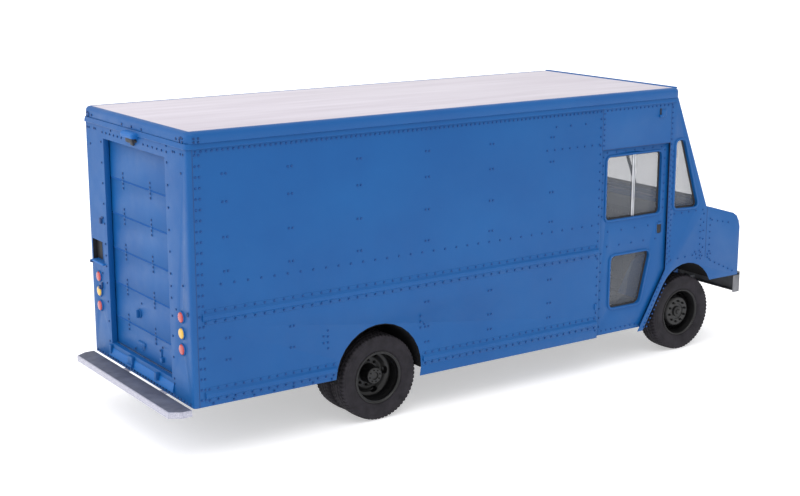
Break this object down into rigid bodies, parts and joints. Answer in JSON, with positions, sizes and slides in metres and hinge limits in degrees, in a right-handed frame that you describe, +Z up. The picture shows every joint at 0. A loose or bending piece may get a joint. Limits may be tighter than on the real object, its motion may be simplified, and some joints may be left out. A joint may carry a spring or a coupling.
{
  "type": "mail delivery truck",
  "caption": "Walk-in delivery truck with a riveted cargo box, sliding cab doors, sectional rear door, short nose, dual rear wheels and a rear step.",
  "frame": {"origin": "on the ground, under the middle of the overall length and width", "axes": "+X forward towards the nose, +Y to the driver's left, +Z up"},
  "size_m": [7.47, 2.348, 3.11],
  "materials": {
    "blue_enamel": "satin",
    "white_panel": "matte",
    "aluminium_plate": "satin",
    "black_steel": "satin",
    "black_wheel": "satin",
    "tyre": "matte",
    "glass": "polished",
    "red_lens": "polished",
    "clear_lens": "polished",
    "dark_plastic": "matte",
    "grey_floor": "satin",
    "seat_vinyl": "satin",
    "iron": "matte",
    "engine_metal": "matte"
  },
  "bodies": {
    "truck": {"chassis_frame": "black_steel", "front_axle": "iron", "rear_axle": "iron", "front_spring_left": "black_steel", "front_spring_right": "black_steel", "rear_spring_left": "black_steel", "rear_spring_right": "black_steel", "engine": "engine_metal", "fuel_tank": "black_steel", "exhaust": "iron", "radiator": "engine_metal", "floor": "grey_floor", "side_panel_left": "blue_enamel", "side_panel_right": "blue_enamel", "roof_panel": "white_panel", "roof_rail": "blue_enamel", "rear_frame": "blue_enamel", "tail_lamps_left": "red_lens", "tail_lamps_right": "red_lens", "rear_bumper": "aluminium_plate", "cab_shell": "blue_enamel", "grille": "dark_plastic", "headlamp_left": "clear_lens", "headlamp_right": "clear_lens", "front_bumper": "aluminium_plate", "windscreen": "glass", "quarter_window_left": "glass", "quarter_window_right": "glass", "bulkhead": "white_panel", "engine_cover": "dark_plastic", "dashboard": "dark_plastic", "steering_column": "dark_plastic", "seat_pedestal": "black_steel", "seat": "seat_vinyl"},
    "propeller_shaft": {"drive_shaft": "black_steel"},
    "left_knuckle": {"knuckle_left": "iron"},
    "right_knuckle": {"knuckle_right": "iron"},
    "track_rod": {"tie_rod": "iron"},
    "front_left_wheel": {"wheel_front_left": "black_wheel", "tyre_front_left": "tyre"},
    "front_right_wheel": {"wheel_front_right": "black_wheel", "tyre_front_right": "tyre"},
    "rear_left_wheels": {"wheel_rear_left": "black_wheel", "tyre_rear_left_outer": "tyre", "tyre_rear_left_inner": "tyre"},
    "rear_right_wheels": {"wheel_rear_right": "black_wheel", "tyre_rear_right_outer": "tyre", "tyre_rear_right_inner": "tyre"},
    "rear_curtain": {"rear_door": "blue_enamel"},
    "rear_latch": {"rear_door_handle": "blue_enamel"},
    "left_cab_door": {"door_left": "blue_enamel", "door_glass_left": "glass"},
    "right_cab_door": {"door_right": "blue_enamel", "door_glass_right": "glass"},
    "bonnet": {"hood": "blue_enamel"},
    "hand_wheel": {"steering_wheel": "dark_plastic"},
    "accelerator": {"accelerator_pedal": "black_steel"},
    "brake": {"brake_pedal": "black_steel"},
    "left_wiper": {"wiper_left": "black_steel"},
    "right_wiper": {"wiper_right": "black_steel"}
  },
  "joints": [
    {"name": "cab_door_right_slide", "type": "slide", "parent": "truck", "child": "right_cab_door", "axis": [-1, 0, 0], "range_m": [0, 1]},
    {"name": "cab_door_left_slide", "type": "slide", "parent": "truck", "child": "left_cab_door", "axis": [-1, 0, 0], "range_m": [0, 1]},
    {"name": "rear_door_lift", "type": "hinge", "parent": "truck", "child": "rear_curtain", "pos_m": [-3.413, 0, 2.846], "axis": [0, -1, 0], "range_deg": [0, 88]},
    {"name": "rear_latch_turn", "type": "hinge", "parent": "rear_curtain", "child": "rear_latch", "pos_m": [-3.433, 0.13, 1.15], "axis": [-1, 0, 0], "range_deg": [0, 90]},
    {"name": "hood_open", "type": "hinge", "parent": "truck", "child": "bonnet", "pos_m": [3.203, 0, 1.679], "axis": [0, -1, 0], "range_deg": [0, 50]},
    {"name": "steer_left", "type": "hinge", "parent": "truck", "child": "left_knuckle", "pos_m": [2.868, 0.76, 0.445], "axis": [0, 0, 1], "range_deg": [-30, 30]},
    {"name": "steer_right", "type": "hinge", "parent": "truck", "child": "right_knuckle", "pos_m": [2.868, -0.76, 0.445], "axis": [0, 0, 1], "range_deg": [-30, 30]},
    {"name": "track_rod_slide", "type": "slide", "parent": "truck", "child": "track_rod", "axis": [0, 1, 0], "range_m": [-0.08, 0.08]},
    {"name": "steering_wheel_turn", "type": "hinge", "parent": "truck", "child": "hand_wheel", "pos_m": [2.59, 0.48, 1.545], "axis": [-0.5736, 0, 0.8191], "range_deg": [-480, 480]},
    {"name": "front_left_spin", "type": "hinge", "parent": "left_knuckle", "child": "front_left_wheel", "pos_m": [2.868, 0.935, 0.445], "axis": [0, 1, 0], "continuous": true},
    {"name": "front_right_spin", "type": "hinge", "parent": "right_knuckle", "child": "front_right_wheel", "pos_m": [2.868, -0.935, 0.445], "axis": [0, 1, 0], "continuous": true},
    {"name": "rear_left_spin", "type": "hinge", "parent": "truck", "child": "rear_left_wheels", "pos_m": [-1.42, 1, 0.445], "axis": [0, 1, 0], "continuous": true},
    {"name": "rear_right_spin", "type": "hinge", "parent": "truck", "child": "rear_right_wheels", "pos_m": [-1.42, -1, 0.445], "axis": [0, 1, 0], "continuous": true},
    {"name": "propeller_shaft_spin", "type": "hinge", "parent": "truck", "child": "propeller_shaft", "pos_m": [-1.218, 0, 0.445], "axis": [0.9998, 0, 0.0177], "continuous": true},
    {"name": "accelerator_press", "type": "hinge", "parent": "truck", "child": "accelerator", "pos_m": [3, 0.37, 1.34], "axis": [0, -1, 0], "range_deg": [0, 16], "stiffness_Nm_per_rad": 20, "springref_deg": -14.32},
    {"name": "brake_press", "type": "hinge", "parent": "truck", "child": "brake", "pos_m": [3, 0.5, 1.34], "axis": [0, -1, 0], "range_deg": [0, 16], "stiffness_Nm_per_rad": 30, "springref_deg": -14.32},
    {"name": "wiper_left_sweep", "type": "hinge", "parent": "truck", "child": "left_wiper", "pos_m": [3.10403, 0.9, 1.73185], "axis": [-0.9258, 0, -0.3781], "range_deg": [0, 90]},
    {"name": "wiper_right_sweep", "type": "hinge", "parent": "truck", "child": "right_wiper", "pos_m": [3.10403, -0.06, 1.73185], "axis": [-0.9258, 0, -0.3781], "range_deg": [0, 90]}
  ],
  "couplings": [
    {"joint": "steer_right", "follows": "steer_left", "ratio": 1},
    {"joint": "track_rod_slide", "follows": "steer_left", "m_per_rad": -0.145},
    {"joint": "steering_wheel_turn", "follows": "steer_left", "ratio": 16},
    {"joint": "propeller_shaft_spin", "follows": "rear_left_spin", "ratio": -4.1},
    {"joint": "wiper_right_sweep", "follows": "wiper_left_sweep", "ratio": 1}
  ]
}
